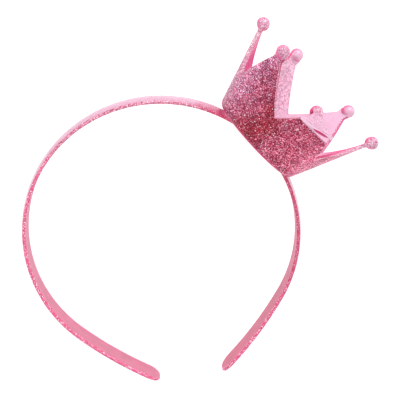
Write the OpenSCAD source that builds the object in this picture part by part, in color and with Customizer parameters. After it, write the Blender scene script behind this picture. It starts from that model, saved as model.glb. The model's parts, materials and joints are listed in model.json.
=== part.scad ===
// Mini crown headband: a D-section plastic headband with a six-pointed crown stuck on one side.
// Millimetres, +Z up. The headband lies on its side, down on one ball of the crown and its own lower edge.
// The headband is drawn flat first: apex of its inner curve at the origin, +Y out of the apex, Z across the strap.

/* [Headband] */
// inner radius over the top of the head
top_r = 62.4; // [60.5:0.1:64.5]
// angle from the apex to where the tails start
top_sweep = 130.1; // [128:0.1:132]
// inner radius of the nearly straight tails
tail_r = 182; // [165:1:200]
// angle that the right-hand tail turns through
tail_sweep = 12.7; // [11:0.1:14]
// how much less the left-hand tail turns
tail_short = 1.1; // [0:0.1:2]
// width of the strap at the apex
band_w = 12.5; // [11.7:0.1:13.3]
// width of the strap at its two ends
end_w = 13.8; // [13:0.1:14.6]
// squareness of the rounded ends, where 2 is a half circle
end_square = 2.5; // [2:0.1:3]
// thickness of the strap at its middle
band_t = 2.5; // [2.2:0.1:2.9]
// rounding radius of the strap's two long edges
edge_r = 0.85; // [0.6:0.05:0.95]

/* [Crown] */
// outer radius of the cone at the rim plane
rim_r = 23; // [22:0.1:24]
// radius of the circle that the ball centres lie on
ball_ring_r = 36.4; // [35.2:0.1:37.6]
// how far the ball centres lie inside the cone of the outer face
ball_inset = 0.7; // [0.5:0.1:0.9]
// height of the ball centres above the rim plane
ball_h = 38.3; // [37:0.1:39.6]
// diameter of the balls
ball_d = 6.1; // [5.5:0.1:6.7]
// height of the valleys between the spikes
valley_h = 16.7; // [15:0.1:18.4]
// thickness of the crown's wall
wall = 1.8; // [1.5:0.1:2]
// outer radius of the rounded lower edge
rim_round = 2.6; // [2.2:0.1:3.2]
// width of a spike where it meets its ball
neck_w = 4.1; // [3.5:0.1:4.7]
// length of the parallel neck below a ball
neck_len = 2.7; // [2:0.1:3.6]
// radius of the rounded valleys between the spikes
valley_r = 0.55; // [0.4:0.05:0.8]

/* [Folded spike] */
// height of the crease across the folded spike
fold_h = 25.3; // [24:0.1:27]
// rise of the folded part above the rim plane's direction
fold_rise = 16.6; // [12:0.2:22]
// sideways turn of the folded part
fold_turn = 3.8; // [0:0.2:6]
// lift of the torn side of the crease
fold_lift = 12; // [8:0.5:16]

/* [Seat of the crown] */
// angle from the apex round to the crown's middle
seat_angle = 56.3; // [53:0.1:59]
// lean of the crown away from the apex
seat_lean = 2.3; // [1.4:0.1:3.4]
// turn of the crown about its own axis
seat_turn = -14.8; // [-18:0.1:-12]
// depth of the rim plane below the strap's outer face
seat_drop = 3.25; // [3:0.05:3.6]
// clearance between the strap and the notches in the rim
seat_gap = 0.15; // [0.1:0.05:0.25]

/* [Hidden] */
$fn = 96;

// table of the strap's arcs from the apex down: inner radius, angle turned
RAD = 0;
TURN = 1;
ARCS = [
  [top_r, top_sweep],
  [tail_r, tail_sweep]
];

// heading at the start of an arc, measured from +X and turning down
function heading(i) = i == 0 ? 0 : heading(i - 1) + ARCS[i - 1][TURN];
function out_dir(a) = [sin(a), cos(a)];
// start point of an arc and its centre, on the right-hand half
function start(i) = i == 0 ? [0, 0] : centre(i - 1) + ARCS[i - 1][RAD] * out_dir(heading(i));
function centre(i) = start(i) - ARCS[i][RAD] * out_dir(heading(i));
end_heading = heading(1) + tail_sweep;
// heading where the strap's rounded end starts, on the left (-1) or the right (1)
function end_of(s) = s > 0 ? end_heading : end_heading - tail_short;
// point on the right half at a heading, moved out from the inner face
function arc_of(a) = a <= heading(1) ? 0 : 1;
function strap_pt(a, out) = centre(arc_of(a)) + (ARCS[arc_of(a)][RAD] + out) * out_dir(a);

// the domed outer face is tangent to the two rounded edges
edge_x = band_w / 2 - edge_r;
dome_r = (edge_x * edge_x + band_t * band_t - 2 * band_t * edge_r) / (2 * (band_t - 2 * edge_r));
dome_c = band_t - dome_r;
dome_end = asin(edge_x / (dome_r - edge_r));

// how much wider the strap is at a heading than at the apex
function widen(a) = 1 + (end_w / band_w - 1) * pow(a / end_heading, 2);

// the crown's cone, taken at its outer face
flare = atan((ball_ring_r + ball_inset - rim_r) / ball_h);
shell_top = ball_h + 1;
function cone_r(h) = rim_r + h * tan(flare);
round_r = rim_r + rim_round * tan(flare) - rim_round / cos(flare);
wall_across = wall / cos(flare);

// the spikes: six, one of them folded
SPIKES = 6;
FOLDED = 5;
SWING = 360 / SPIKES;
neck_h = ball_h - neck_len;
valley_x = cone_r(valley_h) * sin(SWING / 2);
// a spike's straight side is drawn a little past the valley, where it crosses its neighbour's
root_past = 0.5;
root_x = valley_x + root_past;
side_slope = (neck_h - valley_h) / (valley_x - neck_w / 2);
root_h = valley_h - root_past * side_slope;
// how far the rounding of a valley reaches past the corner that it covers
valley_cover = 0.05;
fold_r = cone_r(fold_h) * cos(SWING / 4);
fold_len = norm([ball_ring_r - fold_r, ball_h - fold_h]);
// how far the folded part's root stays inside the wall's outer face, and how far it reaches below the crease
fold_inset = wall / 4;
fold_root = 1.4;
// the folded part is still joined at one side, at this share of the crease's half width
fold_joined = 0.73;

// where the crown sits on the strap
seat_n = seat_angle + seat_lean;
seat_xy = strap_pt(seat_angle, band_t) - seat_drop * out_dir(seat_n);

// the arc of the strap that the rim is cleared from
notch_sweep = 70;
notch_w = band_w * widen(seat_angle + notch_sweep / 2) + 2 * seat_gap;

// centre of ball i in the flat headband's frame
function ball_at(i) =
  let (a = SWING * i + seat_turn)
  [
    seat_xy[0] + ball_ring_r * cos(a) * cos(seat_n) + ball_h * sin(seat_n),
    seat_xy[1] - ball_ring_r * cos(a) * sin(seat_n) + ball_h * cos(seat_n),
    -ball_ring_r * sin(a)
  ];

// half of the D-shaped section: distance from the strap's middle, height over its flat inner face
EDGE_STEPS = 5;
DOME_STEPS = 4;
half_section = concat(
  [[0, 0]],
  [
    for (i = [0 : EDGE_STEPS])
      let (a = -90 + (180 - dome_end) * i / EDGE_STEPS)
      [edge_x + edge_r * cos(a), edge_r + edge_r * sin(a)]
  ],
  [
    for (i = [1 : DOME_STEPS])
      let (a = dome_end * (1 - i / DOME_STEPS))
      [dome_r * sin(a), dome_c + dome_r * cos(a)]
  ]
);
PEAK = len(half_section) - 1;
LOOP = 2 * PEAK;

// stations along the strap from the left end to the right: side of the apex, heading
SIDE = 0;
AT = 1;
STEP = 4;
function even_steps(from, to) =
  let (n = ceil((to - from) / STEP)) [for (k = [1 : n]) from + (to - from) * k / n];
function half_stations(s) = concat(even_steps(0, heading(1)), even_steps(heading(1), end_of(s)));
left_side = half_stations(-1);
stations = concat(
  [for (i = [len(left_side) - 1 : -1 : 0]) [-1, left_side[i]]],
  [[1, 0]],
  [for (a = half_stations(1)) [1, a]]
);

// vertex j of the section at a station: up the +Z half, over the peak, down the -Z half
function across(j) = j <= PEAK ? half_section[j][0] : -half_section[LOOP - j][0];
function above(j) = j <= PEAK ? half_section[j][1] : half_section[LOOP - j][1];
function station_pt(st, j) =
  let (p = strap_pt(st[AT], above(j)))
  [st[SIDE] * p[0], p[1], across(j) * widen(st[AT])];

// the rounded ends: the half section swung round the end of the strap
END_STEPS = 12;
function squared(x) = sign(x) * pow(abs(x), 2 / end_square);
function end_pt(s, k, j) =
  let (
    a = 180 * k / END_STEPS,
    p = strap_pt(end_of(s), half_section[j][1]),
    r = half_section[j][0] * widen(end_of(s)),
    past = r * squared(sin(a))
  )
  [
    s * (p[0] + past * cos(end_of(s))),
    p[1] - past * sin(end_of(s)),
    r * squared(cos(a))
  ];
END_COUNT = (END_STEPS - 1) * (PEAK - 1);
function end_vertex(e, k, j) =
  let (row = e == 0 ? 0 : len(stations) - 1)
  j == 0 || j == PEAK || k == 0 ? row * LOOP + j
  : k == END_STEPS ? row * LOOP + LOOP - j
  : len(stations) * LOOP + e * END_COUNT + (k - 1) * (PEAK - 1) + j - 1;

strap_points = concat(
  [for (st = stations) for (j = [0 : LOOP - 1]) station_pt(st, j)],
  [for (s = [-1, 1]) for (k = [1 : END_STEPS - 1]) for (j = [1 : PEAK - 1]) end_pt(s, k, j)]
);
// a four-sided patch as two triangles, leaving out one that has no width
function patch(a, b, c, d) = concat(
  a == b ? [] : [[a, b, c]],
  c == d ? [] : [[a, c, d]]
);
strap_faces = concat(
  [
    for (i = [0 : len(stations) - 2]) for (j = [0 : LOOP - 1])
      let (n = (j + 1) % LOOP)
      for (t = patch(i * LOOP + j, i * LOOP + n, (i + 1) * LOOP + n, (i + 1) * LOOP + j)) t
  ],
  [
    for (k = [0 : END_STEPS - 1]) for (j = [0 : PEAK - 1])
      for (t = patch(
        end_vertex(0, k, j + 1), end_vertex(0, k + 1, j + 1),
        end_vertex(0, k + 1, j), end_vertex(0, k, j)
      )) [t[2], t[1], t[0]]
  ],
  [
    for (k = [0 : END_STEPS - 1]) for (j = [0 : PEAK - 1])
      for (t = patch(
        end_vertex(1, k, j + 1), end_vertex(1, k + 1, j + 1),
        end_vertex(1, k + 1, j), end_vertex(1, k, j)
      )) t
  ]
);

// rest: the floor touches the lowest ball and the left tail's lower edge at one heading
REST_BALL = 2;
rest_heading = 130.8;
rest_xy = [-strap_pt(rest_heading, edge_r)[0], strap_pt(rest_heading, edge_r)[1]];
rest_in = [sin(rest_heading), -cos(rest_heading)];
rest_yaw = atan2(rest_in[1], rest_in[0]);
low = ball_at(REST_BALL);
rest_z = edge_x * widen(rest_heading);
rest_r = edge_r * widen(rest_heading);
span = [(low[0] - rest_xy[0]) * rest_in[0] + (low[1] - rest_xy[1]) * rest_in[1], low[2] + rest_z];
tilt = atan2(-span[1], span[0]) + asin((ball_d / 2 - rest_r) / norm(span));

// the same tilt for points, to find the middle of the base
function spin(p, a) = [p[0] * cos(a) - p[1] * sin(a), p[0] * sin(a) + p[1] * cos(a), p[2]];
function lean(p) = [p[0] * cos(tilt) - p[2] * sin(tilt), p[1], p[0] * sin(tilt) + p[2] * cos(tilt)];
function laid(p) = spin(lean(spin(p, -rest_yaw)), rest_yaw);
strap_laid = [for (p = strap_points) laid(p)];
balls_laid = [for (i = [0 : SPIKES - 2]) laid(ball_at(i))];
x_low = min([for (p = strap_laid) p[0]]);
x_high = max([for (p = balls_laid) p[0]]) + ball_d / 2;
y_low = min([for (p = strap_laid) p[1]]);
y_high = max([for (p = balls_laid) p[1]]) + ball_d / 2;
floor_z = min(min([for (p = strap_laid) p[2]]), laid(low)[2] - ball_d / 2);

// outline of the wall: up the outer face from the rounded lower edge and down the inner face
ROUND_STEPS = 8;
function round_pt(r, i) =
  let (a = -90 + (90 - flare) * i / ROUND_STEPS)
  [round_r + r * cos(a), rim_round + r * sin(a)];

// the crown's wall up to a height: a flared cone with a rounded lower edge
module shell(top) {
  rotate_extrude()
    polygon(concat(
      [for (i = [0 : ROUND_STEPS]) round_pt(rim_round, i)],
      [[cone_r(top), top], [cone_r(top) - wall_across, top]],
      [for (i = [ROUND_STEPS : -1 : 0]) round_pt(rim_round - wall, i)]
    ));
}

// front view of one spike: X across, Y up from the rim plane
module spike_outline() {
  polygon([
    [root_x, root_h], [neck_w / 2, neck_h], [neck_w / 2, ball_h],
    [-neck_w / 2, ball_h], [-neck_w / 2, neck_h], [-root_x, root_h]
  ]);
}

// front view of the gap beside a spike's side
module gap_outline() {
  polygon([
    [root_x, root_h], [neck_w / 2, neck_h], [neck_w / 2, shell_top],
    [cone_r(shell_top), shell_top], [cone_r(shell_top), root_h]
  ]);
}

// cuts a front view square through the wall
module through_wall() {
  rotate([90, 0, 90])
    translate([0, 0, cone_r(0) / 2])
      linear_extrude(cone_r(shell_top))
        children();
}

// the gap beside a spike, out to just past the plane midway to the next spike
module gap_side() {
  reach = 2 * cone_r(shell_top);
  past = SWING / 2 + 0.05;
  intersection() {
    through_wall() gap_outline();
    linear_extrude(shell_top + 1)
      polygon([[0, 0], [reach, 0], reach * [cos(past), sin(past)]]);
  }
}

// the valley's rounded bottom, along the line where two gaps' sides cross
module valley() {
  translate([cone_r(valley_h), 0, valley_h])
    rotate([0, 90 + atan(side_slope * sin(SWING / 2)), 0])
      translate([valley_cover - valley_r, 0, 0])
        cylinder(h = 4 * wall, r = valley_r, center = true);
}

// the wall cut into spikes, with one of them stopped at its crease
module spiked_wall() {
  difference() {
    shell(ball_h);
    for (i = [0 : SPIKES - 1]) {
      rotate([0, 0, SWING * i]) gap_side();
      rotate([0, 0, SWING * i]) mirror([0, 1, 0]) gap_side();
      rotate([0, 0, SWING * (i + 0.5)]) valley();
    }
    rotate([0, 0, SWING * FOLDED])
      through_wall()
        translate([-valley_x, fold_h]) square([2 * valley_x, shell_top]);
  }
}

// the folded part of the spike: a flat plate with its ball, laid inwards over the crown
module folded_part() {
  hinge = -cone_r(fold_h) * sin(SWING / 4) * fold_joined;
  intersection() {
    translate([fold_r, hinge, fold_h])
      rotate([0, fold_rise, 0])
        rotate([0, 0, 90 - fold_turn])
          rotate([0, -fold_lift, 0])
            translate([-hinge, 0, 0]) {
              translate([0, -fold_h / cos(flare), -wall / 2])
                linear_extrude(wall)
                  intersection() {
                    scale(1 / cos(flare)) spike_outline();
                    translate([-root_x, (fold_h - fold_root) / cos(flare)]) square([2 * root_x, ball_h]);
                  }
              translate([0, fold_len, 0]) sphere(d = ball_d);
            }
    cylinder(h = shell_top, r1 = rim_r - fold_inset, r2 = cone_r(shell_top) - fold_inset);
  }
}

// everything on the seat, in the flat headband's frame
module on_seat() {
  translate([seat_xy[0], seat_xy[1], 0])
    rotate([0, 0, -seat_n])
      rotate([-90, 0, 0])
        children();
}

// lays the flat-drawn model down as it rests, base at Z = 0 and centred
module at_rest() {
  translate([-(x_low + x_high) / 2, -(y_low + y_high) / 2, -floor_z])
    rotate([0, 0, rest_yaw])
      rotate([0, -tilt, 0])
        rotate([0, 0, -rest_yaw])
          children();
}

module headband() {
  color([0.93, 0.45, 0.62])
    at_rest()
      polyhedron(strap_points, strap_faces, convexity = 8);
}

module crown() {
  color([0.83, 0.36, 0.50])
    at_rest()
      difference() {
        on_seat()
          rotate([0, 0, seat_turn]) {
            spiked_wall();
            for (i = [0 : SPIKES - 1]) {
              if (i != FOLDED) {
                rotate([0, 0, SWING * i]) translate([ball_ring_r, 0, ball_h]) sphere(d = ball_d);
              }
            }
            rotate([0, 0, SWING * FOLDED]) folded_part();
          }
        // clearance for the strap, cut through both sides of the rim
        translate([centre(0)[0], centre(0)[1], 0])
          rotate([0, 0, 90 - seat_angle - notch_sweep / 2])
            rotate_extrude(angle = notch_sweep)
              translate([top_r - band_t, -notch_w / 2])
                square([2 * band_t + seat_gap, notch_w]);
      }
}

headband();
crown();
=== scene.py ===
"""Looks of the mini crown headband: glitter plastic band and crown, lying on a pale floor."""

import json
import math

import bmesh
import bpy
from mathutils import Matrix, Vector

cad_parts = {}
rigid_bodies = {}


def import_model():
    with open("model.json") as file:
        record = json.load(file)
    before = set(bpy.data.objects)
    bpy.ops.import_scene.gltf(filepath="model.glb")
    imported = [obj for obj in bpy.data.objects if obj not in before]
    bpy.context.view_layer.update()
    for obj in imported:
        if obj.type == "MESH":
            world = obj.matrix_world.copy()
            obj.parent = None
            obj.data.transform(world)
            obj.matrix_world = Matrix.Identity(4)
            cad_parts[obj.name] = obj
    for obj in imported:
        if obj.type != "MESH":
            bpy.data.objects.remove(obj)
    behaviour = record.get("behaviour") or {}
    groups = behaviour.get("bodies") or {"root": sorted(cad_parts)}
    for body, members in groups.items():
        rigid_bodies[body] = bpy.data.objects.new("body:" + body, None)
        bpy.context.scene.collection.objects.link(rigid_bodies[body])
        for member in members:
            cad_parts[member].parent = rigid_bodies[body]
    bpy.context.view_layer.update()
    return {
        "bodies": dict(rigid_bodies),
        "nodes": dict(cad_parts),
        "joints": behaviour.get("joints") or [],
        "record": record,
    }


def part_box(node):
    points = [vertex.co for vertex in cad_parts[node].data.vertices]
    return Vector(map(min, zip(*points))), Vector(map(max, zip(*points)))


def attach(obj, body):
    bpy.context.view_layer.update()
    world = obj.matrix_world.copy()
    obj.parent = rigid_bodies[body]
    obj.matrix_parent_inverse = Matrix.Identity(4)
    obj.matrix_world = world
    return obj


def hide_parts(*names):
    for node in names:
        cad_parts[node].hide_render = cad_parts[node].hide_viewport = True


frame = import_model()
MM = 0.001
MERGE = 0.002

# Headband, in millimetres and degrees: inner radius and turn of each arc from the apex down
TOP_ARC = (62.4, 130.1)
TAIL_ARC = (182.0, 12.7)
TAIL_SHORT = 1.1
BAND_W = 12.5
END_W = 13.8
END_SQUARE = 2.5
BAND_T = 2.5
EDGE_R = 0.85

# Crown
RIM_R = 23.0
BALL_RING_R = 36.4
BALL_INSET = 0.7
BALL_H = 38.3
BALL_D = 6.1
VALLEY_H = 16.7
WALL = 1.8
RIM_ROUND = 2.6
NECK_W = 4.1
NECK_LEN = 2.7
SPIKES = 6
SWING = 360 / SPIKES

# Folded spike
FOLDED = 5
FOLD_H = 25.3
FOLD_RISE = 16.6
FOLD_TURN = 3.8
FOLD_LIFT = 12.0
FOLD_JOINED = 0.73
FLAP_ROOT = 1.2
FLAP_BLEND = 3.0
TEAR_MIDDLE = 2.5
TEAR_HALF = 4.6
TEAR_OPEN = 0.8
TEAR_BELOW = 0.3

# Seat of the crown on the band, and the way that the headband lies
SEAT_ANGLE = 56.3
SEAT_LEAN = 2.3
SEAT_TURN = -14.8
SEAT_DROP = 3.25
SEAT_GAP = 0.15
REST_YAW = 40.8
REST_TILT = 10.859

# Camera, in the frame that the headband is drawn flat in
CAMERA_TURN = (16.014, -2.915, 11.754)
CAMERA_SHIFT = (-30.927, 43.09)
CAMERA_AWAY = 567.97
CAMERA_LENS = 113.17
SENSOR = 36.0


def sin(a):
    return math.sin(math.radians(a))


def cos(a):
    return math.cos(math.radians(a))


def tan(a):
    return math.tan(math.radians(a))


def turned(angle, axis):
    return Matrix.Rotation(math.radians(angle), 4, axis)


# The curve of the band

ARCS = (TOP_ARC, TAIL_ARC)
HEADINGS = (0.0, TOP_ARC[1])
END_HEADING = sum(turn for _, turn in ARCS)


def out_dir(heading):
    return Vector((sin(heading), cos(heading)))


def arc_centres():
    centres, start = [], Vector((0, 0))
    for (radius, turn), heading in zip(ARCS, HEADINGS):
        centres.append(start - radius * out_dir(heading))
        start = centres[-1] + radius * out_dir(heading + turn)
    return centres


CENTRES = arc_centres()


def strap_point(heading, out):
    """Point on the right half of the band, moved out from its inner face."""
    i = 0 if heading <= HEADINGS[1] else 1
    return CENTRES[i] + (ARCS[i][0] + out) * out_dir(heading)


def widen(heading):
    return 1 + (END_W / BAND_W - 1) * (heading / END_HEADING) ** 2


def end_of(side):
    """Heading where the rounded end starts, on the left (-1) or the right (1)."""
    return END_HEADING - (TAIL_SHORT if side < 0 else 0)


# length of half the band's inner face
BAND_HALF = sum(radius * math.radians(turn) for radius, turn in ARCS) * MM

# The way from the flat drawing to the place where the headband lies

LAID = turned(REST_YAW, "Z") @ turned(-REST_TILT, "Y") @ turned(-REST_YAW, "Z")


def box_centre(points):
    low = Vector(min(p[i] for p in points) for i in range(3))
    high = Vector(max(p[i] for p in points) for i in range(3))
    return (low + high) / 2


def new_piece(name, verts, faces, zones, places=None):
    """Smooth mesh object from millimetre points in the flat drawing's frame."""
    mesh = bpy.data.meshes.new(name)
    mesh.from_pydata([PLACE @ v for v in verts], [], faces)
    for polygon, zone in zip(mesh.polygons, zones):
        polygon.material_index = zone
    if places:
        layer = mesh.uv_layers.new(name="place")
        for loop in mesh.loops:
            layer.data[loop.index].uv = [c * MM for c in places[loop.vertex_index]]
    bm = bmesh.new()
    bm.from_mesh(mesh)
    bmesh.ops.remove_doubles(bm, verts=bm.verts, dist=MERGE * MM)
    bmesh.ops.recalc_face_normals(bm, faces=bm.faces)
    for f in bm.faces:
        f.smooth = True
    bm.to_mesh(mesh)
    bm.free()
    obj = bpy.data.objects.new(name, mesh)
    bpy.context.collection.objects.link(obj)
    return obj


# Band

FLAT_STEPS, EDGE_STEPS, DOME_STEPS, END_STEPS = 8, 8, 10, 20
BAND_INSIDE, BAND_EDGE, BAND_OUTSIDE = range(3)
# degrees from one section of the band to the next
STATION = 1.2


def section_zone(j):
    """Zone of the section's side j, counted from the middle of the inner face."""
    if j < FLAT_STEPS:
        return BAND_INSIDE
    return BAND_EDGE if j < FLAT_STEPS + EDGE_STEPS else BAND_OUTSIDE


def run_length(heading):
    """Length of the inner face from the apex to a heading."""
    length = 0
    for (radius, turn), start in zip(ARCS, HEADINGS):
        length += radius * math.radians(min(max(heading - start, 0), turn))
    return length


def half_section():
    """Half of the D-shaped section: distance from the middle, height over the inner face."""
    edge_x = BAND_W / 2 - EDGE_R
    dome_r = (edge_x ** 2 + BAND_T ** 2 - 2 * BAND_T * EDGE_R) / (2 * (BAND_T - 2 * EDGE_R))
    dome_end = math.degrees(math.asin(edge_x / (dome_r - EDGE_R)))
    points = [(edge_x * i / FLAT_STEPS, 0.0) for i in range(FLAT_STEPS)]
    for i in range(EDGE_STEPS + 1):
        a = -90 + (180 - dome_end) * i / EDGE_STEPS
        points.append((edge_x + EDGE_R * cos(a), EDGE_R + EDGE_R * sin(a)))
    for i in range(1, DOME_STEPS + 1):
        a = dome_end * (1 - i / DOME_STEPS)
        points.append((dome_r * sin(a), BAND_T - dome_r + dome_r * cos(a)))
    return points


def squared(x):
    return math.copysign(abs(x) ** (2 / END_SQUARE), x)


def band_mesh():
    """The band swept along its arcs, with its rounded ends.

    Each face gets its zone, and each point its place: how far along the strap it is, and how far
    across, counted as if the strap were as wide as at the apex.
    """
    half = half_section()
    peak = len(half) - 1
    loop = half + [(-x, y) for x, y in half[peak - 1:0:-1]]
    n = len(loop)
    count = math.ceil(END_HEADING / STATION)
    stations = [(-1, end_of(-1) * i / count) for i in range(count, 0, -1)]
    stations += [(1, end_of(1) * i / count) for i in range(count + 1)]
    verts, places, faces, zones, rows = [], [], [], [], []

    def add(point, along, across):
        verts.append(point)
        places.append((along, across))
        return len(verts) - 1

    for side, a in stations:
        row = []
        for x, y in loop:
            p = strap_point(a, y)
            row.append(add(Vector((side * p.x, p.y, x * widen(a))), side * run_length(a), x))
        rows.append(row)
    for a, b in zip(rows, rows[1:]):
        for j in range(n):
            faces.append((a[j], a[(j + 1) % n], b[(j + 1) % n], b[j]))
            zones.append(section_zone(j if j < peak else n - 1 - j))
    for side, row in ((-1, rows[0]), (1, rows[-1])):
        end = end_of(side)
        last = row[:peak + 1]
        for k in range(1, END_STEPS + 1):
            turn = 180 * k / END_STEPS
            now = []
            for j, (x, y) in enumerate(half):
                if j in (0, peak):
                    now.append(row[j])
                elif k == END_STEPS:
                    now.append(row[n - j])
                else:
                    p = strap_point(end, y)
                    across = x * squared(cos(turn))
                    past = x * widen(end) * squared(sin(turn))
                    now.append(add(
                        Vector((side * (p.x + past * cos(end)), p.y - past * sin(end),
                                across * widen(end))),
                        side * (run_length(end) + past), across))
            for j in range(peak):
                faces.append(tuple(dict.fromkeys((last[j], last[j + 1], now[j + 1], now[j]))))
                zones.append(section_zone(j))
            last = now
    return verts, places, faces, zones


BAND_VERTS, BAND_PLACES, BAND_FACES, BAND_ZONES = band_mesh()
BAND_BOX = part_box("headband")
SHIFT = (BAND_BOX[0] + BAND_BOX[1]) / 2 - box_centre([LAID @ v for v in BAND_VERTS]) * MM
PLACE = Matrix.Translation(SHIFT) @ Matrix.Scale(MM, 4) @ LAID


# Crown, in its own frame: Z along its axis, up from the rim plane

FLARE = math.degrees(math.atan((BALL_RING_R + BALL_INSET - RIM_R) / BALL_H))
WALL_ACROSS = WALL / cos(FLARE)
ROUND_R = RIM_R + RIM_ROUND * tan(FLARE) - RIM_ROUND / cos(FLARE)
NECK_H = BALL_H - NECK_LEN
SEAT_N = SEAT_ANGLE + SEAT_LEAN
SEAT_XY = strap_point(SEAT_ANGLE, BAND_T) - SEAT_DROP * out_dir(SEAT_N)
SEATED = (
    Matrix.Translation(Vector((SEAT_XY.x, SEAT_XY.y, 0)))
    @ turned(-SEAT_N, "Z") @ turned(-90, "X") @ turned(SEAT_TURN, "Z")
)

# a spike's own section stops this far short of its ball
NECK_SHORT = 1.0
NECK_TOP = BALL_H - BALL_D / 2 * cos(FLARE) - NECK_SHORT

# rounding of the wall's cut edges, and how finely the crown is divided
CORNER = 0.25
CORNER_STEPS, COLUMNS, RIM_STEPS, WALL_STEPS = 4, 28, 10, 9

# spike's side: its points before they are thinned out, and the gaps that are kept
SIDE_STEPS = 160
SIDE_SPREAD = 1.6
VALLEY_SOFT = 0.35
NECK_STEP = 0.4
ROW_GAP = 0.75
VALLEY_ROWS, VALLEY_GAP = 6, 0.16

# the neck swells softly into its ball, and its own section fades out under the ball's centre
SWELL = 0.9
SWELL_STEPS, SWELL_GAP = 4, 0.25
FADE = 1.6
BALL_STEP = 8
BALL_MARGIN = 0.45

# half of the folded spike's stub, and of the strap's stretch under the rim, in degrees
STUB_HALF = 16
UNDER_RIM = 25.0

# how finely the flap is followed until it comes in through the wall, and how far in it ends
ROOT_STEP, ROOT_STEPS, ROOT_UNDER = 0.03, 200, 0.02


def mid_r(height):
    return RIM_R + height * tan(FLARE) - WALL_ACROSS / 2


# the balls' centres stand a little outside the middle of the wall
BALL_OUT = BALL_RING_R - mid_r(BALL_H)
FOLD_R = (RIM_R + FOLD_H * tan(FLARE)) * cos(SWING / 4)
FLAP_LENGTH = math.hypot(BALL_RING_R - FOLD_R, BALL_H - FOLD_H)


def wall_point(azimuth, height, off):
    """Point of the wall: off is the distance from its middle surface, outwards."""
    r = mid_r(height) + off / cos(FLARE)
    return Vector((r * cos(azimuth), r * sin(azimuth), height))


def side_curve(t):
    """A spike's side, from the valley to the neck, as half width and height."""
    root_x = (RIM_R + VALLEY_H * tan(FLARE)) * sin(SWING / 2)
    run, rise = root_x - NECK_W / 2, NECK_H - VALLEY_H
    return root_x - run * t, VALLEY_H + rise * t


def spike_side(top):
    """Side of a spike as azimuth and height, rounded in the valley, up to a height."""
    points = []
    for i in range(SIDE_STEPS + 1):
        x, h = side_curve((i / SIDE_STEPS) ** SIDE_SPREAD)
        azimuth = math.degrees(math.asin(min(x / (RIM_R + h * tan(FLARE)), sin(SWING / 2))))
        h = VALLEY_H - VALLEY_SOFT + math.hypot(h - VALLEY_H, VALLEY_SOFT)
        points.append(Vector((azimuth, h)))
    while points[-1].y < top:
        h = points[-1].y + NECK_STEP
        points.append(Vector((math.degrees(math.asin(NECK_W / 2 / (RIM_R + h * tan(FLARE)))), h)))
    picked = [points[0]]
    for p in points[1:]:
        near = picked[-1]
        gap = math.hypot(math.radians(p.x - near.x) * mid_r(p.y), p.y - near.y)
        if gap > ROW_GAP or len(picked) < VALLEY_ROWS and gap > VALLEY_GAP:
            picked.append(p)
    return [p for p in picked if p.y <= top]


def inset(points, i, by):
    """Point i moved into the spike, square to its side."""
    r = mid_r(points[i].y)
    into = Vector((0, -1))
    if i > 0:
        a, b = points[i - 1], points[min(i + 1, len(points) - 1)]
        along = Vector((math.radians(b.x - a.x) * r, b.y - a.y)).normalized()
        if along.y > 0:
            into = Vector((-along.y, along.x))
    return Vector((points[i].x + math.degrees(into.x * by / r), points[i].y + into.y * by))


def corner_steps():
    """Section of a wall's edge, from its outer to its inner face: inset and offset."""
    half = WALL / 2
    outer = []
    for k in range(1, CORNER_STEPS + 1):
        a = 90 * k / CORNER_STEPS
        outer.append((CORNER * (1 - sin(a)), half - CORNER * (1 - cos(a))))
    return outer + [(i, -o) for i, o in reversed(outer)]


EDGE = corner_steps()


def across_steps(half):
    """Even steps from one side to the other, for the faces of the wall."""
    return [half * (2 * k / COLUMNS - 1) for k in range(COLUMNS + 1)]


def whole_loop(outer, right):
    """The four runs of a loop: its outer face and one edge, then its inner face and the other."""
    inner = [(x, y, -o) for x, y, o in reversed(outer)]
    left = [(-x, y, o) for x, y, o in reversed(right)]
    return outer, right, inner, left


def spike_rows(points):
    """Closed loops round a spike, as azimuth, height and offset."""
    rows = []
    for i, _ in enumerate(points):
        face = inset(points, i, CORNER)
        outer = [(a, face.y, WALL / 2) for a in across_steps(face.x)]
        rows.append(whole_loop(outer, [(*inset(points, i, e), o) for e, o in EDGE]))
    return rows


class Shell:
    """Gathers points and faces, with a material zone for each face."""

    def __init__(self):
        self.verts = []
        self.faces = []
        self.zones = []

    def add(self, points):
        first = len(self.verts)
        self.verts += points
        return list(range(first, len(self.verts)))

    def face(self, corners, zone):
        corners = tuple(dict.fromkeys(corners))
        if len(corners) > 2:
            self.faces.append(corners)
            self.zones.append(zone)

    def strip(self, a, b, zone):
        for i in range(len(a) - 1):
            self.face((a[i], a[i + 1], b[i + 1], b[i]), zone)


OUTSIDE, INSIDE, CUT_EDGE, BALL, FLAP, TORN = range(6)
LOOP_ZONES = (OUTSIDE, CUT_EDGE, INSIDE, CUT_EDGE)
FLAP_ZONES = (FLAP, CUT_EDGE, INSIDE, CUT_EDGE)


def add_loops(shell, rows, zones):
    """Skins a stack of loops, each given as the four runs that make it up."""
    indexed = [[shell.add(run) for run in row] for row in rows]

    def joined(row, k):
        """A face's run, or an edge's run with the ends of the faces that it joins."""
        if k in (0, 2):
            return row[k]
        return [row[k - 1][-1]] + row[k] + [row[(k + 1) % 4][0]]

    for a, b in zip(indexed, indexed[1:]):
        for k, zone in enumerate(zones):
            shell.strip(joined(a, k), joined(b, k), zone)
    return indexed


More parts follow.
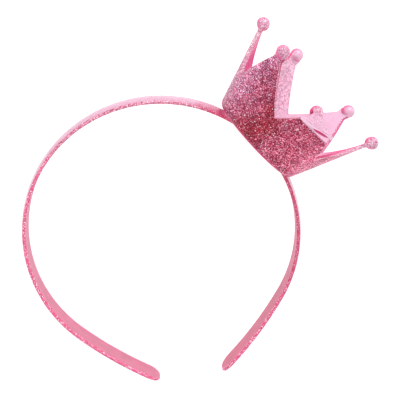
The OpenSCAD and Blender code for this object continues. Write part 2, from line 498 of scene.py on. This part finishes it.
def ball_loops(loop, centre_lift, out):
    """Loops that swell from a neck's section to the ball and close over it.

    loop is the neck's section as (across, off) runs, and out is how far the ball stands outside
    its middle; each result is (runs, lift along the spike).
    """
    radius = BALL_D / 2
    rows = []
    lifts = [-radius - SWELL + SWELL_GAP * k for k in range(SWELL_STEPS)]
    lifts += [-radius * cos(a) for a in range(BALL_STEP, 180, BALL_STEP)]
    for s in sorted(lifts):
        if s + centre_lift < SWELL_GAP:
            continue
        ball = math.sqrt(max(radius ** 2 - s ** 2, 0))
        fade = min(max(-s / FADE, 0), 1)
        runs = []
        for run in loop:
            now = []
            for x, y in run:
                plate = math.hypot(x, y)
                held = plate * fade
                reach = (held + ball + math.sqrt((held - ball) ** 2 + (SWELL * fade) ** 2)) / 2
                if s < -radius:
                    reach = plate + (reach - plate) * (s + radius + SWELL) / SWELL
                now.append((x / plate * reach, y / plate * reach + out * (1 - fade)))
            runs.append(now)
        rows.append((runs, s + centre_lift))
    return rows


def spike_loops(place, folded):
    """Loops of one spike over the valley line, up to its crease or over its ball."""
    points = spike_side(FOLD_H - CORNER if folded else NECK_TOP)
    rows = spike_rows(points)
    placed = [[[place @ wall_point(*p) for p in run] for run in row] for row in rows]
    if folded:
        return placed
    section = [[(math.radians(a) * mid_r(h), o) for a, h, o in run] for run in rows[-1]]
    start = points[-1].y
    centre_lift = (BALL_H - start) / cos(FLARE) + BALL_OUT * sin(FLARE)
    for runs, lift in ball_loops(section, centre_lift, BALL_OUT * cos(FLARE)):
        h = start + lift * cos(FLARE)
        placed.append([
            [place @ Vector((mid_r(h) + y * cos(FLARE), x, h - y * sin(FLARE))) for x, y in run]
            for run in runs
        ])
    return placed


def close_ball(shell, loop, tip):
    """Closes a ball from its last loop to its tip."""
    top = shell.add([tip])[0]
    ring = [v for run in loop for v in run]
    for a, b in zip(ring, ring[1:] + ring[:1]):
        shell.face((a, b, top), BALL)


def add_wall(shell, place):
    """One spike's share of the rim and of the wall below the valleys."""
    columns = across_steps(SWING / 2)
    outer_rows, inner_rows = [], []
    for k in range(RIM_STEPS + 1):
        a = -90 + (90 - FLARE) * k / RIM_STEPS
        for rows, r in ((outer_rows, RIM_ROUND), (inner_rows, RIM_ROUND - WALL)):
            across, h = ROUND_R + r * cos(a), RIM_ROUND + r * sin(a)
            rows.append([place @ Vector((across * cos(c), across * sin(c), h)) for c in columns])
    start = RIM_ROUND - (RIM_ROUND - WALL / 2) * sin(FLARE)
    for k in range(1, WALL_STEPS + 1):
        h = start + (VALLEY_H - CORNER - start) * k / WALL_STEPS
        for rows, off in ((outer_rows, WALL / 2), (inner_rows, -WALL / 2)):
            rows.append([place @ wall_point(c, h, off) for c in columns])
    outer = [shell.add(row) for row in outer_rows]
    inner = [shell.add(row) for row in inner_rows]
    for a, b in zip(outer, outer[1:]):
        shell.strip(a, b, OUTSIDE)
    for a, b in zip(inner, inner[1:]):
        shell.strip(b, a, INSIDE)
    shell.strip(inner[0], outer[0], CUT_EDGE)


def add_crown_body(shell):
    """Rim, wall below the valleys and all the spikes, as one closed skin."""
    along = Vector((sin(FLARE), 0, cos(FLARE)))
    tip = Vector((BALL_RING_R, 0, BALL_H)) + along * BALL_D / 2
    for i in range(SPIKES):
        folded = i == FOLDED
        place = SEATED @ turned(SWING * i, "Z")
        loops = add_loops(shell, spike_loops(place, folded), LOOP_ZONES)
        if folded:
            cap_folded(shell, loops[-1], place)
        else:
            close_ball(shell, loops[-1], place @ tip)
        add_wall(shell, place)


def cap_folded(shell, loop, place):
    """Closes the stub of the folded spike along its crease, with a rounded edge."""
    last = loop
    for k in range(1, CORNER_STEPS + 1):
        a = 90 * k / CORNER_STEPS
        rise, shrink = CORNER * sin(a), CORNER * (1 - cos(a))
        now = []
        for run in loop:
            made = []
            for v in run:
                p = place.inverted() @ shell.verts[v]
                off = (math.hypot(p.x, p.y) - mid_r(p.z)) * cos(FLARE) * (1 - 2 * shrink / WALL)
                azimuth = math.degrees(math.atan2(p.y, p.x))
                azimuth *= 1 - math.degrees(shrink / mid_r(p.z)) / STUB_HALF
                made.append(place @ wall_point(azimuth, p.z + rise, off))
            now.append(shell.add(made))
        ring_a = [v for run in last for v in run]
        ring_b = [v for run in now for v in run]
        shell.strip(ring_a + ring_a[:1], ring_b + ring_b[:1], CUT_EDGE)
        last = now
    outer, right, inner, left = last
    shell.strip(outer, inner[::-1], CUT_EDGE)
    shell.face([outer[-1]] + right + [inner[0]], CUT_EDGE)
    shell.face([inner[-1]] + left + [outer[0]], CUT_EDGE)


def fold_place():
    """From the flap's own frame, X along the crease and Y to its tip, to the crown's."""
    hinge = -(RIM_R + FOLD_H * tan(FLARE)) * sin(SWING / 4) * FOLD_JOINED
    return (
        Matrix.Translation(Vector((FOLD_R, hinge, FOLD_H)))
        @ turned(FOLD_RISE, "Y") @ turned(90 - FOLD_TURN, "Z") @ turned(-FOLD_LIFT, "Y")
        @ Matrix.Translation(Vector((-hinge, 0, 0)))
    )


def root_line(place, x, lift):
    """Where a line along the flap comes in through the wall's outer face."""
    up = -FLAP_ROOT
    for _ in range(ROOT_STEPS):
        p = place @ Vector((x, up, lift))
        if math.hypot(p.x, p.y) < mid_r(p.z) + WALL_ACROSS / 2 - ROOT_UNDER:
            break
        up += ROOT_STEP
    return up


def add_flap(shell):
    """The folded top of the spike: a flat plate with its ball, open towards the crease."""
    flat = fold_place()
    place = SEATED @ turned(SWING * FOLDED, "Z") @ flat
    points = [p for p in spike_side(NECK_TOP) if p.y > FOLD_H - FLAP_ROOT]
    rows = []
    for i, p in enumerate(points):
        up = (p.y - FOLD_H) / cos(FLARE)
        half = math.radians(inset(points, i, CORNER).x) * mid_r(p.y)
        cuts = [(inset(points, i, e), o) for e, o in EDGE]
        rows.append(whole_loop(
            [(x, up, WALL / 2) for x in across_steps(half)],
            [(math.radians(q.x) * mid_r(q.y), up, o) for q, o in cuts]))
    section = [[(x, o) for x, _, o in run] for run in rows[-1]]
    first, start = rows[0][0][0][1], rows[-1][0][0][1]

    def trimmed(x, y, lift):
        """The rows near the crease are drawn together, so that the first one meets the wall."""
        if y > FLAP_BLEND:
            return Vector((x, y, lift))
        root = root_line(flat, x, lift)
        share = (y - first) / (FLAP_BLEND - first)
        return Vector((x, root + (FLAP_BLEND - root) * share, lift))

    rows = [[[trimmed(*p) for p in run] for run in row] for row in rows]
    for runs, lift in ball_loops(section, FLAP_LENGTH - start, 0.0):
        rows.append([[Vector((x, start + lift, y)) for x, y in run] for run in runs])
    loops = add_loops(shell, [[[place @ p for p in run] for run in row] for row in rows],
                      FLAP_ZONES)
    close_ball(shell, loops[-1], place @ Vector((0, FLAP_LENGTH + BALL_D / 2, 0)))
    outer, right, inner, left = loops[0]
    shell.strip(outer, inner[::-1], TORN)
    shell.face([outer[-1]] + right + [inner[0]], TORN)
    shell.face([inner[-1]] + left + [outer[0]], FLAP)


def clear_of_strap(verts):
    """Lifts the rim where it would cut into the strap."""
    reach = TOP_ARC[0] + BAND_T + SEAT_GAP
    centre = Vector((CENTRES[0].x, CENTRES[0].y, 0))
    up = (SEATED.to_3x3() @ Vector((0, 0, 1))).normalized()
    half = BAND_W / 2 * widen(SEAT_ANGLE + UNDER_RIM) + SEAT_GAP
    for v in verts:
        across = Vector((v.x, v.y, 0)) - centre
        if abs(v.z) <= half and across.length < reach:
            b = across.dot(up)
            v += up * (-b + math.sqrt(b * b - across.length_squared + reach ** 2))


def zone_of_balls(shell):
    """Faces round a ball's centre take the ball's own zone."""
    centres = []
    for i in range(SPIKES):
        centre = Vector((BALL_RING_R, 0, BALL_H))
        if i == FOLDED:
            centre = fold_place() @ Vector((0, FLAP_LENGTH, 0))
        centres.append(SEATED @ turned(SWING * i, "Z") @ centre)
    for i, face in enumerate(shell.faces):
        middle = sum((shell.verts[v] for v in face), Vector()) / len(face)
        if min((middle - c).length for c in centres) < BALL_D / 2 + BALL_MARGIN:
            shell.zones[i] = BALL


def make_crown():
    shell = Shell()
    add_crown_body(shell)
    add_flap(shell)
    clear_of_strap(shell.verts)
    zone_of_balls(shell)
    return new_piece("crown_skin", shell.verts, shell.faces, shell.zones)


def make_band():
    return new_piece("band_skin", BAND_VERTS, BAND_FACES, BAND_ZONES, BAND_PLACES)


# Materials

class Material:
    """One material and the nodes that feed its shader."""

    def __init__(self, name, **uniform):
        self.data = bpy.data.materials.new(name)
        self.data.use_nodes = True
        self.tree = self.data.node_tree
        self.shader = self.tree.nodes["Principled BSDF"]
        for socket, value in uniform.items():
            self.shader.inputs[socket.replace("_", " ")].default_value = value

    def add(self, kind, *inputs, **settings):
        """Adds a node; inputs are values or sockets, in the node's own order."""
        node = self.tree.nodes.new("ShaderNode" + kind)
        for key, value in settings.items():
            setattr(node, key, value)
        for socket, value in zip(node.inputs, inputs):
            self.feed(socket, value)
        return node

    def feed(self, socket, value):
        if value is None:
            return
        if isinstance(value, bpy.types.NodeSocket):
            self.tree.links.new(value, socket)
        else:
            socket.default_value = value

    def shade(self, name, value):
        self.feed(self.shader.inputs[name], value)

    def math(self, operation, *inputs, clamp=False):
        return self.add("Math", *inputs, operation=operation, use_clamp=clamp).outputs[0]

    def ranged(self, value, low, high):
        """0 at low, 1 at high, straight in between and held beyond."""
        return self.add("MapRange", value, low, high).outputs[0]

    def vector(self, operation, *inputs):
        return self.add("VectorMath", *inputs, operation=operation).outputs[0]

    def scaled(self, vector, by):
        node = self.add("VectorMath", vector, operation="SCALE")
        self.feed(node.inputs["Scale"], by)
        return node.outputs[0]

    def split(self, vector):
        return self.add("SeparateXYZ", vector).outputs

    def ramp(self, amount, stops):
        """Colour ramp through (position, colour or grey) stops."""
        node = self.add("ValToRGB", amount)
        ramp = node.color_ramp
        ramp.interpolation = "EASE"
        for i, (position, colour) in enumerate(stops):
            if i > 1:
                ramp.elements.new(position)
            ramp.elements[i].position = position
            rgb = colour if isinstance(colour, tuple) else (colour,) * 3
            ramp.elements[i].color = (*rgb, 1)
        return node.outputs[0]

    def mix(self, amount, a, b, blend="MIX"):
        node = self.add("Mix", data_type="RGBA", blend_type=blend)
        for index, value in ((0, amount), (6, a), (7, b)):
            if isinstance(value, tuple):
                value = (*value, 1)
            self.feed(node.inputs[index], value)
        return node.outputs[2]

    def object_point(self):
        return self.add("TexCoord").outputs["Object"]

    def crown_point(self, frame=None):
        """Millimetres in the crown's own frame, Z along its axis, or in a frame placed in it."""
        place = (PLACE @ SEATED @ (frame or Matrix())).inverted()
        where, spin, size = place.decompose()
        node = self.add("Mapping", self.object_point())
        node.inputs["Location"].default_value = where
        node.inputs["Rotation"].default_value = spin.to_euler()
        node.inputs["Scale"].default_value = size
        return node.outputs[0]

    def cells(self, point, size, shift):
        """A random colour for each flake of about a size in metres."""
        moved = self.vector("ADD", point, (shift, shift, shift))
        node = self.add("TexVoronoi", moved, voronoi_dimensions="3D", feature="F1")
        node.inputs["Scale"].default_value = 1 / size
        return node.outputs["Color"]

    def noise(self, point, size, detail=2.0, stretch=None):
        if stretch:
            point = self.vector("MULTIPLY", point, stretch)
        node = self.add("TexNoise", point)
        node.inputs["Scale"].default_value = 1 / size
        node.inputs["Detail"].default_value = detail
        return node.outputs["Fac"]

    def tilt(self, random, by):
        """The surface's normal, leaned at random for each flake."""
        normal = self.add("NewGeometry").outputs["Normal"]
        lean = self.scaled(self.vector("SUBTRACT", random, (0.5, 0.5, 0.5)), by)
        return self.vector("NORMALIZE", self.vector("ADD", normal, lean))


FLAKE = 0.31 * MM
FINE_FLAKE = 0.28 * MM
SPECK = 0.8 * MM
# colour of the sparse bright flakes: a painted glint
GLINT = (1.0, 0.88, 0.93)

# shifts that keep the patterns of flakes apart
FLAKE_SEED, SPECK_SEED, GLINT_SEED, HOT_SEED, GRAIN_SEED = 0.37, 1.91, 4.73, 8.3, 6.1

# heights in the crown's frame between which the painted shade along its rim comes in
RIM_SHADE = (0.9, 0.45)

# Y in the crown's frame between which the looks of its near and of its far spikes come in; the near
# spikes' edges take a darker painted shade
NEAR_SPIKES = (-6.0, -12.0)
FAR_SPIKES = (10.0, 20.0)

# how far clouds move the borders between looks, on the crown as a share and on the strap
CROWN_DRIFT = 0.16
BAND_DRIFT = 24 * MM


def glitter(material, flake_stops, glint_share=0.012, lean=0.4, seed=0.0, light_tint=None, flake=FLAKE,
            clump=0.7):
    """Dense glitter in clear plastic: flakes of random colour and lean, and sparse white ones whose
    colour is a painted glint.
    """
    point = material.object_point()
    flakes = material.cells(point, flake, FLAKE_SEED + seed)
    pick = material.split(flakes)
    specks = material.split(material.cells(point, SPECK, SPECK_SEED + seed))
    spark = material.split(material.cells(point, flake, GLINT_SEED + seed))
    dim = material.ramp(specks[1], [(0.0, clump), (1.0, 1.0)])
    colour = material.mix(1.0, material.ramp(pick[0], flake_stops), dim, "MULTIPLY")
    if light_tint is not None:
        colour = material.mix(1.0, colour, light_tint, "MULTIPLY")
    bright = material.math("GREATER_THAN", spark[1], 1 - glint_share)
    colour = material.mix(bright, colour, GLINT)
    material.shade("Roughness", material.ramp(pick[2], [(0.0, 0.25), (1.0, 0.5)]))
    material.shade("Normal", material.tilt(flakes, lean))
    return colour


def hot_pink(material):
    """The bright pink of the plastic itself, with faint flakes in it; the crown shows it where it
    is in painted shade.
    """
    flakes = material.split(material.cells(material.object_point(), FLAKE, HOT_SEED))[0]
    return material.ramp(flakes, [
        (0.0, (0.56, 0.02, 0.16)), (0.25, (0.71, 0.035, 0.22)), (0.8, (0.75, 0.05, 0.25)),
        (1.0, (0.85, 0.16, 0.38)),
    ])


def painted_top_light(material, low, high):
    """Painted light from above: 0 where the surface faces down or sideways, in painted shade, 1
    where it faces up and takes the painted lit look, as it lies.
    """
    up = material.split(material.add("NewGeometry").outputs["Normal"])[2]
    node = material.add("MapRange", up, low, high, interpolation_type="SMOOTHSTEP")
    return node.outputs[0]


def crown_side(material):
    """0 on the side of the crown next to the band's apex, 1 on the side towards its end."""
    x, y, _ = material.split(material.crown_point())
    along = material.math("ADD", material.math("MULTIPLY", x, cos(SEAT_TURN)),
                          material.math("MULTIPLY", y, -sin(SEAT_TURN)))
    return material.math("MULTIPLY_ADD", along, 0.5 / BALL_RING_R, 0.5, clamp=True)


def crown_outside():
    material = Material("crown_outside", Specular_IOR_Level=0.12)
    cloud = material.noise(material.object_point(), 9 * MM, 2.0)
    side = material.math("ADD", crown_side(material),
                         material.math("MULTIPLY_ADD", cloud, CROWN_DRIFT, -CROWN_DRIFT / 2))
    patch = material.noise(material.object_point(), 5 * MM, 3.0)
    # painted light: a broad colour across the crown, paler towards both of its sides, as lit by the
    # lamps to the sides, and darker in between; the patches are random tone
    light_tint = material.ramp(side, [
        (0.13, (1.5, 2.3, 2.35)), (0.24, (1.15, 1.15, 1.25)), (0.38, (0.92, 0.45, 0.47)),
        (0.5, (1.2, 1.1, 1.15)), (0.62, (1.4, 1.25, 1.3)), (0.82, (1.95, 1.95, 2.15)),
    ])
    patches = material.ramp(patch, [(0.35, (0.76, 0.7, 0.76)), (0.6, (1.08, 1.08, 1.08))])
    colour = glitter(material, [
        (0.0, (0.1, 0.004, 0.015)), (0.3, (0.29, 0.02, 0.05)), (0.6, (0.47, 0.055, 0.12)),
        (0.84, (0.68, 0.2, 0.31)), (1.0, (0.9, 0.56, 0.66)),
    ], light_tint=material.mix(1.0, light_tint, patches, "MULTIPLY"))
    height = material.split(material.crown_point())[2]
    # painted shade: the rounded lower rim, which turns away underneath, is drawn as a dark hot pink
    # line
    rim = material.ranged(height, *RIM_SHADE)
    material.shade("Base Color", material.mix(rim, colour, (0.6, 0.04, 0.15)))
    return material.data


def top_lit_glitter(name, seed, stops, share, lean, lit=(-0.2, 0.45), coat=0.15, flake=FLAKE):
    """Glitter for the faces that face up, painted light as if lit from above, with the share of it
    that each face takes.
    """
    material = Material(name, Coat_Weight=coat, Coat_Roughness=0.12, Specular_IOR_Level=0.3)
    colour = glitter(material, stops, glint_share=share, lean=lean, seed=seed, flake=flake)
    return material, colour, painted_top_light(material, *lit)


def crown_inside():
    material, colour, lit = top_lit_glitter("crown_inside", 3.1, [
        (0.0, (0.7, 0.2, 0.4)), (0.3, (0.84, 0.46, 0.65)), (0.65, (0.92, 0.63, 0.78)),
        (1.0, (0.97, 0.8, 0.9)),
    ], 0.004, 0.15, flake=FINE_FLAKE)
    side = crown_side(material)
    smooth = material.ramp(side, [(0.5, 0.0), (0.62, 0.85)])
    colour = material.mix(smooth, colour, (0.76, 0.5, 0.66))
    # painted shade: the insides of the end spikes stay hot pink as if in shadow, and elsewhere the
    # faces that face up take the painted lit look
    ends = material.ramp(side, [(0.15, 0.0), (0.25, 1.0), (0.86, 1.0), (0.93, 0.0)])
    lit = material.math("MULTIPLY", lit, ends)
    material.shade("Base Color", material.mix(lit, hot_pink(material), colour))
    return material.data


def crown_edge():
    material, colour, lit = top_lit_glitter("crown_edge", 5.3, [
        (0.0, (0.36, 0.06, 0.15)), (0.2, (0.55, 0.21, 0.33)), (1.0, (0.72, 0.41, 0.53)),
    ], 0.1, 0.5, (0.7, 0.88), 0.3)
    # painted shade: edges that do not face up are hot pink, darker crimson on the near spikes, and
    # edges that face up take the painted lit look
    near = material.ranged(material.split(material.crown_point())[1], *NEAR_SPIKES)
    hot = material.mix(near, hot_pink(material), (0.46, 0.03, 0.12))
    material.shade("Base Color", material.mix(lit, hot, colour))
    return material.data


def crown_ball():
    material, colour, lit = top_lit_glitter("crown_ball", 7.7, [
        (0.0, (0.34, 0.04, 0.12)), (0.25, (0.64, 0.22, 0.37)), (1.0, (0.82, 0.5, 0.63)),
    ], 0.08, 0.4, (0.25, 0.85), 0.6)
    # painted light: balls are pale where they face up and hot pink on their lower sides, a painted
    # shade that rings them as they lie; the far balls are smooth
    glittery = material.mix(lit, hot_pink(material), colour)
    far = material.ranged(material.split(material.crown_point())[1], *FAR_SPIKES)
    smooth = material.mix(painted_top_light(material, 0.3, 0.85), hot_pink(material), (0.74, 0.44, 0.59))
    material.shade("Base Color", material.mix(far, glittery, smooth))
    return material.data


def crown_flap():
    material, colour, lit = top_lit_glitter("crown_flap", 9.2, [
        (0.0, (0.56, 0.2, 0.35)), (0.4, (0.64, 0.31, 0.46)), (1.0, (0.74, 0.43, 0.58)),
    ], 0.004, 0.12, flake=FINE_FLAKE)
    # painted light: the flap is pale where it faces up, as if lit from above, and hot pink where it
    # turns away, in painted shade
    material.shade("Base Color", material.mix(lit, hot_pink(material), colour))
    return material.data


def crown_torn():
    """The torn end of the flap: painted shadow in a lens at the open middle of the crease, dark
    saturated pink where the gap under the lifted flap is in shade, and painted light, a light pink,
    elsewhere.
    """
    material = Material("crown_torn", Roughness=0.4, Coat_Weight=0.2)
    x, _, lift = material.split(material.crown_point(turned(SWING * FOLDED, "Z") @ fold_place()))
    along = material.math("MULTIPLY_ADD", x, 1 / TEAR_HALF, -TEAR_MIDDLE / TEAR_HALF)
    square = material.math("MULTIPLY", along, along)
    half_width = material.math("MULTIPLY_ADD", square, -TEAR_OPEN, TEAR_OPEN)
    cloud = material.noise(material.object_point(), 1.5 * MM, 3.0)
    off_middle = material.math("ABSOLUTE", material.math("ADD", lift, TEAR_BELOW))
    inside = material.ranged(material.math("SUBTRACT", half_width, off_middle), 0.0, 0.1)
    # painted shadow inside the open gap of the crease
    gap_shade = material.ramp(cloud, [(0.3, (0.48, 0.005, 0.09)), (0.7, (0.66, 0.015, 0.15))])
    material.shade("Base Color", material.mix(inside, (0.8, 0.52, 0.66), gap_shade))
    return material.data


def along_band(material):
    """Place along the strap from its apex and across it, in metres."""
    node = material.add("UVMap", uv_map="place")
    return node.outputs[0]


def share_along(material, stops):
    """A share that goes through stops along the strap, from its left end (0) to its right (1)."""
    cloud = material.noise(material.object_point(), 4 * MM, 2.0)
    along = material.math("ADD", material.split(along_band(material))[0],
                          material.math("MULTIPLY_ADD", cloud, BAND_DRIFT, -BAND_DRIFT / 2))
    share = material.math("MULTIPLY_ADD", along, 0.5 / BAND_HALF, 0.5, clamp=True)
    return material.ramp(share, stops)


def crown_shadow_on_strap(material, colour):
    """Painted shadow: darker and redder where the strap comes up to the crown's rim, the crown's
    shade and its pink light on the strap.
    """
    near = share_along(material, [(0.575, 0.0), (0.595, 1.0), (0.62, 1.0), (0.64, 0.0)])
    return material.mix(near, colour, (0.8, 0.32, 0.5), "MULTIPLY")


def band_inside():
    material = Material("band_inside", Coat_Weight=0.05, Coat_Roughness=0.3, Specular_IOR_Level=0.3)
    place = along_band(material)
    streak = material.noise(place, 1 * MM, 3.0, (0.1, 1.6, 1.0))
    cloud = material.noise(material.object_point(), 6 * MM, 2.0)
    colour = material.ramp(streak, [
        (0.35, (0.48, 0.16, 0.24)), (0.5, (0.54, 0.145, 0.235)), (0.65, (0.62, 0.12, 0.23))])
    grey = material.ramp(cloud, [(0.3, 0.92), (0.7, 1.04)])
    colour = material.mix(1.0, colour, grey, "MULTIPLY")
    right = material.ranged(material.split(place)[0], 0.0, BAND_HALF)
    colour = material.mix(right, colour, (1.05, 0.68, 0.8), "MULTIPLY")
    across = material.math("ABSOLUTE", material.split(place)[1])
    border = material.ranged(across, 4.6 * MM, 5.3 * MM)
    colour = material.mix(material.math("MULTIPLY", border, 0.7), colour, (0.6, 0.08, 0.2))
    material.shade("Base Color", colour)
    material.shade("Roughness", material.ramp(streak, [(0.2, 0.5), (0.8, 0.36)]))
    bump = material.add("Bump")
    bump.inputs["Strength"].default_value = 0.15
    bump.inputs["Distance"].default_value = 0.05 * MM
    material.feed(bump.inputs["Height"], streak)
    material.shade("Normal", bump.outputs[0])
    return material.data


def band_glitter(material, stops, share, seed):
    return glitter(material, stops, glint_share=share, lean=0.35, seed=seed, clump=0.85)


def band_edge():
    """The strap's rounded edges: hot pink with painted white glints, and dark flecks round the top.
    """
    material = Material("band_edge", Coat_Weight=0.5, Coat_Roughness=0.1, Specular_IOR_Level=0.3)
    hot = band_glitter(material, [
        (0.0, (0.45, 0.015, 0.09)), (0.12, (0.7, 0.065, 0.19)), (1.0, (0.84, 0.14, 0.32)),
    ], 0.12, 2.2)
    flecked = band_glitter(material, [
        (0.0, (0.24, 0.01, 0.055)), (0.35, (0.56, 0.07, 0.17)), (0.65, (0.82, 0.26, 0.42)),
        (1.0, (0.95, 0.48, 0.62)),
    ], 0.08, 2.2)
    beyond = share_along(material, [(0.62, 0.0), (0.68, 1.0), (0.84, 1.0), (0.92, 0.0)])
    hot = material.mix(beyond, hot, (0.8, 0.5, 0.6), "MULTIPLY")
    top = share_along(material, [(0.34, 0.0), (0.42, 1.0), (0.58, 1.0), (0.62, 0.0)])
    material.shade("Base Color", crown_shadow_on_strap(material, material.mix(top, hot, flecked)))
    return material.data


def band_outside():
    """The strap's domed side: a painted light pink sheen round the top and next to the crown,
    grainy beyond it, and glitter like the edges further on."""
    material = Material("band_outside", Coat_Weight=0.5, Coat_Roughness=0.12,
                        Specular_IOR_Level=0.3)
    hot = band_glitter(material, [
        (0.0, (0.32, 0.012, 0.08)), (0.2, (0.68, 0.1, 0.24)), (0.6, (0.84, 0.24, 0.42)),
        (1.0, (0.96, 0.52, 0.7)),
    ], 0.08, 4.4)
    cloud = material.noise(material.object_point(), 3 * MM, 3.0)
    pale = material.ramp(cloud, [(0.3, (0.55, 0.24, 0.35)), (0.7, (0.59, 0.29, 0.43))])
    pick = material.split(material.cells(material.object_point(), FLAKE, GRAIN_SEED))[0]
    grain = material.ramp(pick, [
        (0.0, (0.7, 0.3, 0.4)), (0.3, (1.3, 1.1, 1.15)), (1.0, (1.6, 1.9, 1.7)),
    ])
    beyond = share_along(material, [(0.66, 0.0), (0.74, 1.0)])
    pale = material.mix(beyond, pale, material.mix(1.0, pale, grain, "MULTIPLY"))
    # painted sheen: the light pink is a painted reflection of the lamps and floor on the dome,
    # round the top and past the crown, with bright painted glints in its grain; it gives way to hot
    # pink in painted shade where the strap meets the crown
    sheen_share = share_along(material, [
        (0.27, 0.0), (0.35, 1.0), (0.585, 1.0), (0.61, 0.1), (0.7, 0.6), (0.74, 1.0), (0.86, 1.0),
        (0.93, 0.0),
    ])
    material.shade("Base Color", crown_shadow_on_strap(material, material.mix(sheen_share, hot, pale)))
    return material.data


band = make_band()
for make in (band_inside, band_edge, band_outside):
    band.data.materials.append(make())
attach(band, "root")
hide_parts("headband")

crown = make_crown()
for make in (crown_outside, crown_inside, crown_edge, crown_ball, crown_flap, crown_torn):
    crown.data.materials.append(make())
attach(crown, "root")
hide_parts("crown")


# Stage

AIM = Vector((0, 0, 0.02))
SKY = 0.7


def add_floor():
    bpy.ops.mesh.primitive_plane_add(size=4)
    floor = bpy.context.object
    floor.name = "floor"
    material = Material("floor", Roughness=0.85, Specular_IOR_Level=0.2)
    material.shader.inputs["Emission Color"].default_value = (1, 1, 1, 1)
    material.shader.inputs["Emission Strength"].default_value = 0.35
    mottle = material.noise(material.object_point(), 0.05, 3.0)
    material.shade("Base Color", material.ramp(mottle, [(0.3, 0.9), (0.7, 0.92)]))
    floor.data.materials.append(material.data)


def add_camera():
    data = bpy.data.cameras.new("camera")
    data.lens = CAMERA_LENS
    data.sensor_width = SENSOR
    camera = bpy.data.objects.new("camera", data)
    bpy.context.collection.objects.link(camera)
    rx, ry, rz = CAMERA_TURN
    # turns the flat drawing's frame into the camera's, and back
    seen = turned(rz, "Z") @ turned(ry, "Y") @ turned(rx, "X")
    back = seen.to_3x3().transposed()
    spot = back @ Vector((-CAMERA_SHIFT[0], -CAMERA_SHIFT[1], CAMERA_AWAY))
    place = LAID.to_3x3() @ back
    camera.matrix_world = Matrix.Translation(PLACE @ spot) @ place.to_4x4()
    bpy.context.scene.camera = camera


def add_light(name, toward, distance, size, power):
    data = bpy.data.lights.new(name, "AREA")
    data.size = size
    data.energy = power
    light = bpy.data.objects.new(name, data)
    bpy.context.collection.objects.link(light)
    way = Vector(toward).normalized()
    light.location = AIM + way * distance
    light.rotation_mode = "QUATERNION"
    light.rotation_quaternion = (-way).to_track_quat("-Z", "Y")


add_floor()
add_camera()
add_light("key", (0.6, 0.75, 0.6), 1.0, 0.6, 6)
add_light("fill", (-0.4, -0.1, 1.0), 1.2, 1.0, 5)
world = bpy.data.worlds.new("world")
world.use_nodes = True
sky = world.node_tree.nodes["Background"]
sky.inputs["Color"].default_value = (1, 1, 1, 1)
sky.inputs["Strength"].default_value = SKY
bpy.context.scene.world = world
bpy.context.scene.view_settings.view_transform = "Standard"
